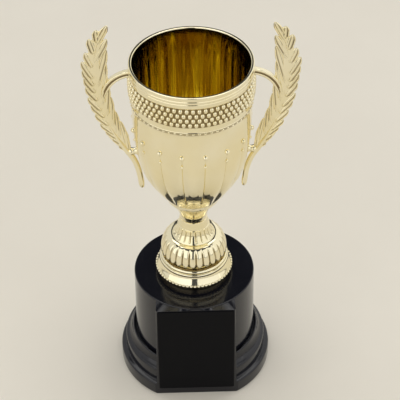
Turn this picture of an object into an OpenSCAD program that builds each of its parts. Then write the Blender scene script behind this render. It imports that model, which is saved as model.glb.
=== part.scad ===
// Cup trophy: a moulded metallised cup with laurel handles on a stepped black base.
// Origin: centre of the resting face, on the axis of the cup. +Z up, the front pad faces -Y.

/* [Base] */
// Radius of the foot where it rests
foot_r = 40; // [38:0.5:46]
// Height of the foot's outer band
foot_band_h = 7.6; // [6:0.2:9]
// Height of the top of the second step
step_2_top = 15.2; // [13:0.2:17]
// Height of the top of the third step
step_3_top = 21.4; // [19:0.2:24]
// Radius of the drum at the top
drum_r = 31.2; // [29:0.2:32]
// Height of the whole base
base_h = 60; // [50:1:80]
// Wall of the base moulding
base_wall = 2.4; // [1.8:0.1:3.2]
// Width of the front pad at the top
pad_w = 40.6; // [30:0.2:44]
// Distance from the axis to the pad's face at the top
pad_y = 31.5; // [31:0.1:34]
// How much wider the pad is, and how much further forward it stands, at the floor
pad_draft = 2; // [1:0.1:2.4]

/* [Plate] */
// Width of the blank plate
plate_w = 39.5; // [26:0.5:40]
// Height of the plate's lower edge above the floor
plate_z = 4; // [2:0.5:4]
// Height of the blank plate
plate_h = 54.5; // [30:0.5:55]
// Thickness of the blank plate
plate_t = 0.6; // [0.4:0.1:1.2]

/* [Stem] */
// Radius of the stem's skirt at its beaded edge
skirt_r = 20; // [18:0.5:24]
// Height of the stepped skirt
skirt_h = 12.6; // [11:0.2:14]
// Largest radius of the gadrooned tier
dome_r = 17; // [15:0.5:17.4]
// Height of the gadrooned tier above the skirt
gadroon_h = 12.4; // [10:0.2:14]
// Radius where the fluted tier starts
tier_r = 11.4; // [10:0.2:12]
// Height of the fluted tier
flute_h = 6.6; // [5:0.2:9]
// Radius of the neck
neck_r = 7.3; // [6.6:0.1:8]
// Height of the plain neck band
neck_h = 4.8; // [4:0.2:6]
// Height of the dark gap under the collar
gap_h = 2; // [1:0.2:3]
// Height of the collar's cone
collar_h = 13.6; // [10:0.2:16]
// Radius of the collar where it meets the bowl
collar_r = 13.6; // [12:0.2:14]

/* [Bowl] */
// Height of the panelled body of the bowl
body_h = 58; // [50:1:64]
// Radius of the bowl under its dimpled band
body_r = 29.3; // [28:0.1:31]
// Height of the dimpled band
band_h = 15; // [12:0.5:18]
// How far the dimpled band stands out
band_bulge = 1.3; // [0.6:0.1:2]
// Height of the plain ring above the band
ring_h = 6.3; // [5:0.1:8]
// Wall of the bowl
bowl_wall = 1.6; // [1.2:0.1:2.4]
// Number of panels around the bowl
panels = 16; // [12:1:18]
// Radius of the stud at the top of each flute
bead_r = 1.2; // [0.8:0.1:1.5]

/* [Handles] */
// How far each spray reaches above the rim
spray_rise = 21; // [16:0.5:24]
// How far the middle of a spray stands out from the axis
spray_out = 46.2; // [44:0.2:50]
// Number of leaves on the outer side
outer_leaves = 14; // [10:1:15]
// Number of leaves on the inner side
inner_leaves = 12; // [8:1:13]
// Length of the longest leaf
leaf_l = 10.4; // [9:0.2:12]
// Width of the longest leaf
leaf_w = 4; // [3:0.1:4.6]
// Thickness of a leaf
leaf_t = 2.4; // [1.6:0.1:3]
// Width and depth of the stalk
stalk_w = 3.2; // [2.4:0.1:3.6]
// Radius of the curved bar between the rim and the spray
bar_r = 14.8; // [13.5:0.1:15.5]
// Width of the curved bar
bar_w = 3.2; // [2.6:0.1:4.6]

/* [Rod] */
// Radius of the threaded rod
rod_r = 3; // [2.5:0.1:3]
// Nut, across its flats
nut_af = 10; // [8:0.5:10.5]

/* [Hidden] */
$fn = 96;

// Colours
gold = "#d9c27a";
black = "#17171a";
steel = "#b9bcc0";
iron = "#5a5b5e";
board = "#2a2725";

// Heights of the stack, from the floor up
flange_z = base_h;
dome_z = flange_z + skirt_h;
tier_z = dome_z + gadroon_h;
neck_z = tier_z + flute_h;
neck_top = neck_z + neck_h;
collar_z = neck_top + gap_h;
bowl_z = collar_z + collar_h;
band_z = bowl_z + body_h;
ring_z = band_z + band_h;
rim_z = ring_z + ring_h;

// Base
pad_top = base_h - 0.6;
drum_draft = 0.4;
groove_w = 1.3;
groove_d = 1.8;
edge_r = 1;
cover_t = 1.6;
cover_r = foot_r - base_wall - 0.8;
cover_lip = 1.2;
fit = 0.2;
boss_r = 7;
weight_t = 12;
rib_t = 1.8;
rib_h = 6;
ribs = 6;

// Rod, nuts and washers
bore_r = rod_r + fit;
nut_h = 5;
washer_r = 6.4;
washer_t = 1.2;
top_plate = 2.6;
boss_top = bowl_z + 5.5;
rod_end = 1.8;

// Stem
stem_wall = 1.6;
bead_edge_r = 1.3;
skirt_steps = 2;

// Bowl: the body's curve leaves the collar at a slant and ends upright
foot_of_bowl = 14;
bowl_path = [[foot_of_bowl, bowl_z], [26.25, bowl_z + 16.25], [body_r - 0.7, bowl_z + 25],
             [body_r - 0.3, band_z]];
bead_z = bowl_z + 43.6;
dot_z = bowl_z + 38;
dot_r = 0.8;
stud_h = 1.5;

// Handles: stalk and spray are two curves that meet at the peg
peg_z = bowl_z + 26.5;
joint_x = 31.1;
joint_z = peg_z - 0.8;
tail_x = 25.3;
tail_z = bowl_z + 3.6;
tip_x = spray_out - 7.8;
tip_z = rim_z + spray_rise;
stalk_path = [[tail_x, tail_z], [tail_x + 0.7, tail_z + 7], [tail_x + 1, tail_z + 15], [joint_x, joint_z]];
spray_path = [[joint_x, joint_z], [spray_out - 4.9, joint_z + 14.4], [spray_out + 8.7, tip_z - 22.3],
              [tip_x, tip_z - leaf_l * 0.75]];
leaf_spread = 33;
bar_x = 27.2;
bar_z = rim_z - 20.7;
bar_depth = 2.8;
bar_groove = 0.9;
peg_r = 2;

// Point at t on a curve with four controls
function curve(p, t) =
    p[0] * pow(1 - t, 3) + p[1] * 3 * t * pow(1 - t, 2) + p[2] * 3 * t * t * (1 - t) + p[3] * pow(t, 3);

// Direction of the curve at t, as a unit vector
function heading(p, t) =
    let (d = (p[1] - p[0]) * pow(1 - t, 2) + (p[2] - p[1]) * 2 * t * (1 - t) + (p[3] - p[2]) * t * t)
    d / norm(d);

// Points beside a curve, at a distance on its left
function beside(p, distance, n) =
    [for (i = [0 : n]) let (t = i / n, h = heading(p, t)) curve(p, t) + distance * [-h[1], h[0]]];

// Points on an arc
function arc(centre, r, from, to, n) =
    [for (i = [0 : n]) let (a = from + (to - from) * i / n) centre + r * [cos(a), sin(a)]];

// A list of points in the other order
function backwards(p) = [for (i = [len(p) - 1 : -1 : 0]) p[i]];

// Outer outline of the base: three steps, a groove and the drum
function base_outline() = concat(
    [[0, 0], [foot_r, 0]],
    arc([foot_r - edge_r, foot_band_h - edge_r], edge_r, 0, 90, 4),
    [[foot_r - 1.8, foot_band_h]],
    arc([foot_r - 3.1, step_2_top - edge_r], edge_r, 0, 90, 4),
    arc([foot_r - 3.1, step_3_top - 1.2], 3.2, 260, 188, 5),
    arc([drum_r + groove_w + 0.9, step_3_top - 0.8], 0.8, 20, 150, 5),
    [[drum_r + groove_w - 0.2, step_3_top - groove_d],
     [drum_r + drum_draft, step_3_top - groove_d]],
    arc([drum_r - edge_r, base_h - edge_r], edge_r, 0, 90, 4),
    [[0, base_h]]
);

// Prism across the base, behind the drafted front face by an inset, up to a height
module behind_face(inset, top) {
    back = 2 * foot_r;
    lean = pad_draft / pad_top;
    front = -pad_y + inset;
    rotate([90, 0, 90])
        linear_extrude(height = 4 * foot_r, center = true)
            polygon([[back, -1], [front - lean * (pad_top + 1), -1], [front - lean * (pad_top - top), top],
                     [back, top]]);
}

// Block that carries the plate, drafted on its face and its sides
module pad() {
    intersection() {
        behind_face(0, pad_top);
        rotate([90, 0, 0])
            linear_extrude(height = 2 * foot_r)
                polygon([[-(pad_w + pad_draft) / 2, 0], [(pad_w + pad_draft) / 2, 0],
                         [pad_w / 2, pad_top], [-pad_w / 2, pad_top]]);
    }
}

module base_hollow() {
    drum_in = drum_r - base_wall;
    intersection() {
        union() {
            translate([0, 0, -1])
                cylinder(r = cover_r, h = 1 + cover_t);
            cylinder(r = cover_r - cover_lip, h = foot_band_h - base_wall + 0.4);
            cylinder(r = drum_r, h = step_2_top - base_wall);
            cylinder(r = drum_in, h = base_h - top_plate);
        }
        behind_face(base_wall, base_h);
    }
}

module base_shell() {
    color(black)
        difference() {
            union() {
                difference() {
                    union() {
                        intersection() {
                            rotate_extrude()
                                polygon(base_outline());
                            behind_face(0, base_h + 1);
                        }
                        pad();
                    }
                    base_hollow();
                }
                translate([0, 0, base_h - top_plate - rib_h])
                    cylinder(r = boss_r + washer_t, h = rib_h + 0.1);
                for (i = [0 : ribs - 1])
                    rotate([0, 0, i * 360 / ribs])
                        translate([boss_r, -rib_t / 2, base_h - top_plate - rib_h])
                            cube([drum_r - base_wall / 2 - boss_r, rib_t, rib_h + 0.1]);
            }
            translate([0, 0, base_h - top_plate - rib_h - 1])
                cylinder(r = boss_r, h = rib_h + 1);
            cylinder(r = bore_r, h = base_h + 1);
        }
}

// Blank plate laid on the pad's drafted face
module name_plate() {
    lean = atan(pad_draft / pad_top);
    color(black)
        translate([0, -pad_y - pad_draft, 0])
            rotate([-lean, 0, 0])
                translate([-plate_w / 2, -plate_t, plate_z])
                    cube([plate_w, plate_t, plate_h]);
}

module base_weight() {
    color(iron)
        translate([0, 0, cover_t])
            cylinder(r = drum_r - 1, h = weight_t - cover_t);
}

module bottom_cover() {
    color(board)
        intersection() {
            cylinder(r = cover_r - fit, h = cover_t);
            behind_face(base_wall + fit, cover_t + 1);
        }
}

// Outline of the stepped skirt, from its resting edge to its top
function skirt_outline() = concat(
    [[0, flange_z], [skirt_r - 1, flange_z], [skirt_r - 1, flange_z + 1.7]],
    arc([skirt_r - bead_edge_r, flange_z + 3], bead_edge_r, -60, 70, 6),
    beside([[skirt_r - 0.9, flange_z + 4.5], [skirt_r - 1.4, flange_z + 5.4],
            [skirt_r - 1.5, flange_z + 6.6], [skirt_r - 1.5, flange_z + 8.2]], 0, 5),
    [for (i = [0 : skirt_steps - 1]) for (p = arc([skirt_r - 2.6 - 0.5 * i, flange_z + 9.4 + 1.9 * i],
        0.95, -70, 80, 5)) p],
    [[skirt_r - 3.4, dome_z], [0, dome_z]]
);

module stem_flange() {
    color(gold)
        difference() {
            rotate_extrude()
                polygon(skirt_outline());
            translate([0, 0, flange_z - 1])
                cylinder(r = skirt_r - 5, h = skirt_h + 1 - stem_wall);
            cylinder(r = bore_r, h = dome_z + 1);
        }
}

// Controls of the gadrooned tier and of the fluted tier above it
gadroon_path = [[dome_r, dome_z + 2.4], [dome_r - 0.2, dome_z + 7.4], [tier_r + 3.2, tier_z - 0.8],
                [tier_r, tier_z]];
flute_path = [[tier_r - 0.5, tier_z + 0.3], [tier_r - 1.6, tier_z + 1.4], [neck_r + 1.1, neck_z - 3],
              [neck_r + 0.8, neck_z]];
neck_path = [[neck_r + 0.6, neck_z + 0.5], [neck_r + 0.1, neck_z + 1.8], [neck_r - 0.1, neck_z + 3],
             [neck_r, neck_top]];

module stem_dome() {
    color(gold)
        difference() {
            rotate_extrude()
                polygon(concat(
                    [[0, dome_z], [dome_r - 1.8, dome_z], [dome_r - 1.8, dome_z + 1.2],
                     [dome_r - 0.6, dome_z + 1.2]],
                    beside(gadroon_path, 0, 8),
                    beside(flute_path, 0, 6),
                    beside(neck_path, 0, 5),
                    [[0, neck_top]]
                ));
            rotate_extrude()
                polygon(concat(
                    [[0, dome_z - 1], [dome_r - 1.8 - stem_wall, dome_z - 1]],
                    beside(gadroon_path, stem_wall, 6),
                    [[neck_r - 1, tier_z], [0, tier_z]]
                ));
            cylinder(r = bore_r, h = neck_top + 1);
        }
}

module neck_collar() {
    color(gold)
        difference() {
            rotate_extrude()
                polygon(concat(
                    [[0, neck_top], [neck_r - 0.7, neck_top], [neck_r - 0.7, collar_z]],
                    beside([[neck_r - 0.1, collar_z], [neck_r + 0.2, collar_z + 4.6],
                            [collar_r - 3.1, bowl_z - 4.5], [collar_r, bowl_z]], 0, 8),
                    [[0, bowl_z]]
                ));
            cylinder(r = bore_r, h = bowl_z + 1);
        }
}

// Outer outline of the bowl from its foot to its rim
function bowl_outside() = concat(
    beside(bowl_path, 0, 14),
    beside([[body_r, band_z + 0.8], [body_r + band_bulge * 1.1, band_z + 3],
            [body_r + band_bulge * 1.3, ring_z - 4.4], [body_r + 0.5, ring_z]], 0, 8),
    [[body_r + 0.35, ring_z + 0.4], [body_r + 0.4, ring_z + 2.6], [body_r + 0.25, ring_z + 2.8],
     [body_r + 0.3, rim_z - 0.6], [body_r - 0.1, rim_z]]
);

module bowl_envelope() {
    rotate_extrude()
        polygon(concat([[0, bowl_z]], bowl_outside(), [[0, rim_z]]));
}

// Short round stud pointing outwards, at a distance from the axis
module stud(r, out, z) {
    translate([out, 0, z])
        rotate([0, 90, 0])
            cylinder(r = r, h = stud_h, center = true);
}

module bowl() {
    color(gold)
        difference() {
            union() {
                bowl_envelope();
                for (i = [0 : panels - 1])
                    rotate([0, 0, (i + 0.5) * 360 / panels]) {
                        stud(bead_r, body_r - 0.6, bead_z);
                        stud(dot_r, body_r - 1.2, dot_z);
                    }
            }
            difference() {
                rotate_extrude()
                    polygon(concat(
                        [[0, bowl_z + 3]],
                        [for (p = beside(bowl_path, bowl_wall, 14)) if (p[1] > bowl_z + 3) p],
                        [[body_r - bowl_wall, ring_z], [body_r - bowl_wall + 0.3, rim_z + 1],
                         [0, rim_z + 1]]
                    ));
                cylinder(r = boss_r, h = boss_top);
            }
            cylinder(r = bore_r, h = boss_top + 1);
        }
}

// Strip along a curve, widths at its two ends, lying in XZ and centred on the plane of the handles
module strip(path, w_start, w_end, depth, n) {
    width = [for (i = [0 : n]) (w_start + (w_end - w_start) * i / n) / 2];
    left = [for (i = [0 : n]) let (h = heading(path, i / n)) curve(path, i / n) + width[i] * [-h[1], h[0]]];
    right = [for (i = [0 : n]) let (h = heading(path, i / n)) curve(path, i / n) - width[i] * [-h[1], h[0]]];
    rotate([90, 0, 0])
        linear_extrude(height = depth, center = true)
            polygon(concat(right, backwards(left)));
}

// Pointed leaf lying along +X from the origin, with a raised midrib on both faces
module leaf(l, w) {
    linear_extrude(height = leaf_t, center = true)
        polygon([[0, -w * 0.3], [l * 0.35, -w * 0.5], [l * 0.75, -w * 0.36], [l, 0],
                 [l * 0.75, w * 0.36], [l * 0.35, w * 0.5], [0, w * 0.3]]);
    translate([0, -0.3, -leaf_t / 2 - 0.4])
        cube([l * 0.9, 0.6, leaf_t + 0.8]);
}

// Leaves up one side of the spray: side is 1 for the outer row and -1 for the inner row
module leaf_row(count, side) {
    for (i = [0 : count - 1]) {
        t = 0.03 + 0.93 * i / (count - 1);
        at = curve(spray_path, t);
        h = heading(spray_path, t);
        size = 0.66 + 0.34 * sin(150 * t + 15);
        translate([at[0], side * 0.15, at[1]])
            rotate([90, 0, 0])
                rotate([0, 0, atan2(h[1], h[0]) - side * leaf_spread])
                    leaf(leaf_l * size, leaf_w * size);
    }
}

// Curved bar from the rim to the spray, with a channel on both faces
module bar() {
    translate([bar_x, 0, bar_z])
        rotate([90, 0, 0])
            rotate([0, 0, -8])
                rotate_extrude(angle = 100)
                    translate([bar_r, 0])
                        difference() {
                            square([bar_w, bar_depth], center = true);
                            for (s = [-1, 1])
                                translate([0, s * bar_depth / 2])
                                    square([bar_groove, 1.2], center = true);
                        }
}

// Handle on the +X side
module handle() {
    difference() {
        union() {
            strip(stalk_path, stalk_w, stalk_w, stalk_w, 8);
            strip(spray_path, stalk_w, stalk_w * 0.4, leaf_t + 1, 14);
            leaf_row(outer_leaves, 1);
            leaf_row(inner_leaves, -1);
            translate([tip_x, 0, tip_z - leaf_l * 0.75])
                rotate([90, 0, 0])
                    rotate([0, 0, 112])
                        leaf(leaf_l * 0.8, leaf_w);
            bar();
            translate([body_r - 4, 0, peg_z])
                rotate([0, 90, 0])
                    cylinder(r = peg_r, h = joint_x - body_r + 4.8);
        }
        bowl_envelope();
    }
}

module handle_right() {
    color(gold)
        handle();
}

module handle_left() {
    color(gold)
        mirror([1, 0, 0])
            handle();
}

module centre_rod() {
    bottom = base_h - top_plate - washer_t - nut_h - rod_end;
    top = boss_top + washer_t + nut_h + rod_end;
    color(steel)
        translate([0, 0, bottom])
            cylinder(r = rod_r, h = top - bottom);
}

module washer(z) {
    color(steel)
        translate([0, 0, z])
            difference() {
                cylinder(r = washer_r, h = washer_t);
                translate([0, 0, -1])
                    cylinder(r = bore_r, h = washer_t + 2);
            }
}

module nut(z) {
    corner = nut_af / 2 / cos(30);
    color(steel)
        translate([0, 0, z])
            difference() {
                linear_extrude(height = nut_h)
                    polygon([for (i = [0 : 5]) corner * [cos(60 * i), sin(60 * i)]]);
                translate([0, 0, -1])
                    cylinder(r = rod_r + 0.02, h = nut_h + 2);
            }
}

module base_washer() {
    washer(base_h - top_plate - washer_t);
}

module base_nut() {
    nut(base_h - top_plate - washer_t - nut_h);
}

module bowl_washer() {
    washer(boss_top);
}

module bowl_nut() {
    nut(boss_top + washer_t);
}

base_shell();
name_plate();
base_weight();
bottom_cover();
stem_flange();
stem_dome();
neck_collar();
bowl();
handle_left();
handle_right();
centre_rod();
base_washer();
base_nut();
bowl_washer();
bowl_nut();
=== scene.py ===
"""Gold cup trophy with laurel handles on a stepped black base: the visual model, in metres.

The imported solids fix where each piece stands. Every visible moulding is built again here with its
relief, and the weight, cover, rod, washers and nuts keep their own meshes and get a finish.
"""

import logging
import math
from collections.abc import Callable, Sequence
from dataclasses import dataclass
from enum import Enum

import bmesh
import bpy
import numpy as np
from mathutils import Matrix, Vector


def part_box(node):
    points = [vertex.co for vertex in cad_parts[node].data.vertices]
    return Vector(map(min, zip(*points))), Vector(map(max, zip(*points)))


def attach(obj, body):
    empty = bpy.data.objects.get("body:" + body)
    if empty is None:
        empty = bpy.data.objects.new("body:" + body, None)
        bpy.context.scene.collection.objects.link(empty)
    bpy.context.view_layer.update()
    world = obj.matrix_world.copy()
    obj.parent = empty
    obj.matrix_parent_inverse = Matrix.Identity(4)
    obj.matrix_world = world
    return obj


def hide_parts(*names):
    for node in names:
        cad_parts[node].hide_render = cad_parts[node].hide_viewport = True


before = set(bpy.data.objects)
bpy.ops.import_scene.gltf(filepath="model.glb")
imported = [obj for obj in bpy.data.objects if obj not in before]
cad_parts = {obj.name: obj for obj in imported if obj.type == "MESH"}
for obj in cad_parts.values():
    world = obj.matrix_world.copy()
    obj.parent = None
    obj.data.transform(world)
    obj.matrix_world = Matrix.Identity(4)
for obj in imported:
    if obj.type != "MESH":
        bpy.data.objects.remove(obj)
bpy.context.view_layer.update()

MM = 0.001
log = logging.getLogger("cup_trophy")

Point = tuple[float, float]
Colour = tuple[float, float, float]


class Slot(Enum):
    """Names of the part's material slots."""

    GOLD = "gold"
    BLACK = "base_black"
    PLATE = "plate_black"
    IRON = "weight_iron"
    BOARD = "cover_board"
    ZINC = "zinc_steel"


class Side(Enum):
    """Which side of the cup a handle stands on."""

    LEFT = -1
    RIGHT = 1


class Ask(Enum):
    """Kinds of named input that a shape tree takes."""

    NUMBER = "NodeSocketFloat"
    WHOLE = "NodeSocketInt"
    MATERIAL = "NodeSocketMaterial"
    OBJECT = "NodeSocketObject"
    SHAPE = "NodeSocketGeometry"


# ---------------------------------------------------------------- drawing helpers


def bezier(controls: Sequence[Point], count: int) -> list[Point]:
    """Points along a curve with four controls.

    Args:
        controls: The four controls, in millimetres.
        count: How many points to give, both ends included.

    Returns:
        The points, from the first control to the last.
    """
    return [(float(a), float(b)) for a, b in along(controls, np.linspace(0.0, 1.0, count)[:, None])]


def along(controls: Sequence[Point], t: float | np.ndarray) -> np.ndarray:
    """Where a four-control curve is at t."""
    p = np.array(controls, float)
    return p[0] * (1 - t) ** 3 + p[1] * 3 * t * (1 - t) ** 2 + p[2] * 3 * t * t * (1 - t) + p[3] * t**3


def heading(controls: Sequence[Point], t: float) -> np.ndarray:
    """Unit direction of a four-control curve at t."""
    p = np.array(controls, float)
    d = (p[1] - p[0]) * (1 - t) ** 2 + (p[2] - p[1]) * 2 * t * (1 - t) + (p[3] - p[2]) * t * t
    return d / np.linalg.norm(d)


def filleted(path: Sequence[tuple[float, float, float]], steps: int = 4) -> list[Point]:
    """An open outline with its corners rounded.

    Args:
        path: Corners as radius, height and fillet, in millimetres.
        steps: Segments in each rounded corner.

    Returns:
        The rounded outline's points.
    """
    out: list[Point] = []
    for i, (x, y, fillet) in enumerate(path):
        if fillet <= 0 or i in (0, len(path) - 1):
            out.append((x, y))
            continue
        here = np.array((x, y))
        ends = []
        for j in (i - 1, i + 1):
            way = np.array(path[j][:2]) - here
            far = float(np.linalg.norm(way))
            ends.append(here + way / far * min(fillet, far * 0.48))
        for k in range(steps + 1):
            t = k / steps
            at = ends[0] * (1 - t) ** 2 + here * 2 * t * (1 - t) + ends[1] * t * t
            out.append((float(at[0]), float(at[1])))
    return out


def dense(path: Sequence[Point], step: float) -> list[Point]:
    """The same outline with no segment longer than a step."""
    out = [path[0]]
    for a, b in zip(path[:-1], path[1:]):
        n = max(1, math.ceil(math.dist(a, b) / step))
        out += [(a[0] + (b[0] - a[0]) * k / n, a[1] + (b[1] - a[1]) * k / n) for k in range(1, n + 1)]
    return out


def new_piece(name: str, points: np.ndarray, faces: list[tuple[int, ...]],
              finishes: Sequence[bpy.types.Material], picks: Sequence[int] | None = None) -> bpy.types.Object:
    """Makes an object at the origin from points in millimetres.

    Args:
        name: Name of the piece.
        points: One row of x, y, z for each point.
        faces: Point numbers of each face, counter-clockwise from outside.
        finishes: Materials for the piece's slots.
        picks: Slot number of each face, or None for the first slot.

    Returns:
        The new object, linked to the scene.
    """
    mesh = bpy.data.meshes.new(name)
    mesh.from_pydata((points * MM).tolist(), [], faces)
    for finish in finishes:
        mesh.materials.append(finish)
    if picks is not None:
        mesh.polygons.foreach_set("material_index", list(picks))
    mesh.polygons.foreach_set("use_smooth", [True] * len(mesh.polygons))
    mesh.update()
    piece = bpy.data.objects.new(name, mesh)
    bpy.context.scene.collection.objects.link(piece)
    return piece


def crisp(piece: bpy.types.Object, degrees: float) -> None:
    """Marks edges sharper than an angle, so that they shade as edges."""
    piece.data.set_sharp_from_angle(angle=math.radians(degrees))


def joined(pieces: Sequence[bpy.types.Object], name: str) -> bpy.types.Object:
    """Joins objects into the first of them and names it."""
    with bpy.context.temp_override(active_object=pieces[0], object=pieces[0], selected_objects=list(pieces),
                                   selected_editable_objects=list(pieces)):
        bpy.ops.object.join()
    pieces[0].name = name
    pieces[0].data.name = name
    return pieces[0]


def settle(piece: bpy.types.Object, node: str) -> bpy.types.Object:
    """Puts a finished piece on the one body, in place of a solid, which it hides."""
    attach(piece, "root")
    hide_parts(node)
    return piece


# ---------------------------------------------------------------- shape trees


class TreeMaker:
    """Lays out one Geometry Nodes tree and keeps its named inputs."""

    def __init__(self, name: str) -> None:
        """Starts an empty tree with one geometry output."""
        self.tree = bpy.data.node_groups.new(name, "GeometryNodeTree")
        self.tree.interface.new_socket("Shape", in_out="OUTPUT", socket_type=Ask.SHAPE.value)
        self.inlet = self.tree.nodes.new("NodeGroupInput")
        self.outlet = self.tree.nodes.new("NodeGroupOutput")

    def ask(self, name: str, kind: Ask = Ask.NUMBER) -> bpy.types.NodeSocket:
        """Adds a named input and returns its socket."""
        self.tree.interface.new_socket(name, in_out="INPUT", socket_type=kind.value)
        return self.inlet.outputs[name]

    def put(self, socket: bpy.types.NodeSocket, value: object) -> None:
        """Links a socket to another, or sets it to a plain value."""
        if isinstance(value, bpy.types.NodeSocket):
            self.tree.links.new(value, socket)
        elif value is not None:
            socket.default_value = value

    def node(self, kind: str, feeds: dict[object, object] | None = None,
             **settings: object) -> bpy.types.Node:
        """Adds a node.

        Args:
            kind: The node's type name.
            feeds: What goes into its sockets, by socket name or number.
            settings: Properties to set on the node first.

        Returns:
            The node.
        """
        node = self.tree.nodes.new(kind)
        for key, value in settings.items():
            setattr(node, key, value)
        for key, value in (feeds or {}).items():
            self.put(node.inputs[key], value)
        return node

    def sum(self, operation: str, a: object, b: object = None, c: object = None) -> bpy.types.NodeSocket:
        """One step of arithmetic on numbers or sockets."""
        return self.node("ShaderNodeMath", {0: a, 1: b, 2: c}, operation=operation).outputs[0]

    def ease(self, value: object, start: object, end: object, low: float = 0.0, high: float = 1.0
             ) -> bpy.types.NodeSocket:
        """A smooth step from low to high while the value goes from start to end."""
        feeds = {"Value": value, "From Min": start, "From Max": end, "To Min": low, "To Max": high}
        return self.node("ShaderNodeMapRange", feeds, interpolation_type="SMOOTHSTEP").outputs["Result"]

    def vector(self, x: object = 0.0, y: object = 0.0, z: object = 0.0) -> bpy.types.NodeSocket:
        """Three numbers as one vector."""
        return self.node("ShaderNodeCombineXYZ", {0: x, 1: y, 2: z}).outputs[0]

    def turn(self, x: object = 0.0, y: object = 0.0, z: object = 0.0) -> bpy.types.NodeSocket:
        """A rotation from three angles in radians."""
        return self.node("FunctionNodeEulerToRotation", {0: self.vector(x, y, z)}).outputs[0]

    def attribute(self, name: str) -> bpy.types.NodeSocket:
        """A number stored on the points."""
        return self.node("GeometryNodeInputNamedAttribute", {"Name": name}).outputs["Attribute"]

    def close(self, shape: bpy.types.NodeSocket, finish: object,
              selection: object = None) -> bpy.types.NodeTree:
        """Ends the tree with Realize Instances and Set Material.

        Args:
            shape: The geometry so far.
            finish: The material.
            selection: Which faces take it, or None for all.

        Returns:
            The finished tree.
        """
        real = self.node("GeometryNodeRealizeInstances", {"Geometry": shape})
        feeds = {"Geometry": real.outputs[0], "Material": finish}
        if selection is not None:
            feeds["Selection"] = selection
        coated = self.node("GeometryNodeSetMaterial", feeds)
        self.put(self.outlet.inputs[0], coated.outputs[0])
        return self.tree


def flute_relief() -> bpy.types.NodeTree:
    """Tree that cuts lobes or grooves around a turned wall, ends them in a row of arches and paints shade
    into the cuts.
    """
    make = TreeMaker("flute_relief")
    shape = make.ask("Wall", Ask.SHAPE)
    count, phase = make.ask("Count"), make.ask("Phase")
    depth, power, step = make.ask("Depth"), make.ask("Power"), make.ask("Step")
    low, high = make.ask("Low"), make.ask("High")
    low_fade, high_fade, arch = make.ask("Low fade"), make.ask("High fade"), make.ask("Arch")
    shade = make.ask("Shade")
    finish = make.ask("Finish", Ask.MATERIAL)
    at = make.node("ShaderNodeSeparateXYZ", {0: make.node("GeometryNodeInputPosition").outputs[0]}).outputs
    angle = make.sum("ARCTAN2", at[1], at[0])
    part = make.sum("FRACT", make.sum("MULTIPLY_ADD", angle, make.sum("DIVIDE", count, math.tau), phase))
    away = make.sum("ABSOLUTE", make.sum("MULTIPLY_ADD", part, 2.0, -1.0))
    edge = make.sum("POWER", away, power)
    start = make.sum("MULTIPLY_ADD", make.sum("POWER", away, 2.4), arch, low)
    below = make.ease(at[2], start, make.sum("ADD", start, low_fade))
    above = make.ease(at[2], make.sum("SUBTRACT", high, high_fade), high, 1.0, 0.0)
    skin = make.attribute("skin")
    carve = make.sum("MULTIPLY", make.sum("MULTIPLY", edge, depth), below)
    drop = make.sum("MULTIPLY", make.sum("SUBTRACT", 1.0, below), step)
    inward = make.sum("MULTIPLY", make.sum("MULTIPLY", make.sum("ADD", carve, drop), above), skin)
    normal = make.node("GeometryNodeInputNormal").outputs["Normal"]
    push = make.node("ShaderNodeVectorMath", {0: normal, "Scale": make.sum("MULTIPLY", inward, -1.0)},
                     operation="SCALE")
    moved = make.node("GeometryNodeSetPosition", {"Geometry": shape, "Offset": push.outputs[0]})
    # Painted shade: the deeper a point is cut, the darker it is coloured, scaled by Shade and stored on the
    # points.
    share = make.sum("MULTIPLY", make.sum("DIVIDE", make.sum("ABSOLUTE", inward), 0.0009), shade)
    deep = make.sum("MAXIMUM", make.attribute("recess"), make.sum("MINIMUM", share, 1.0))
    noted = make.node("GeometryNodeStoreNamedAttribute", {"Geometry": moved.outputs[0], "Name": "recess",
                      "Value": deep}, data_type="FLOAT", domain="POINT")
    return make.close(noted.outputs[0], finish, make.sum("GREATER_THAN", skin, 0.5))


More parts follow.
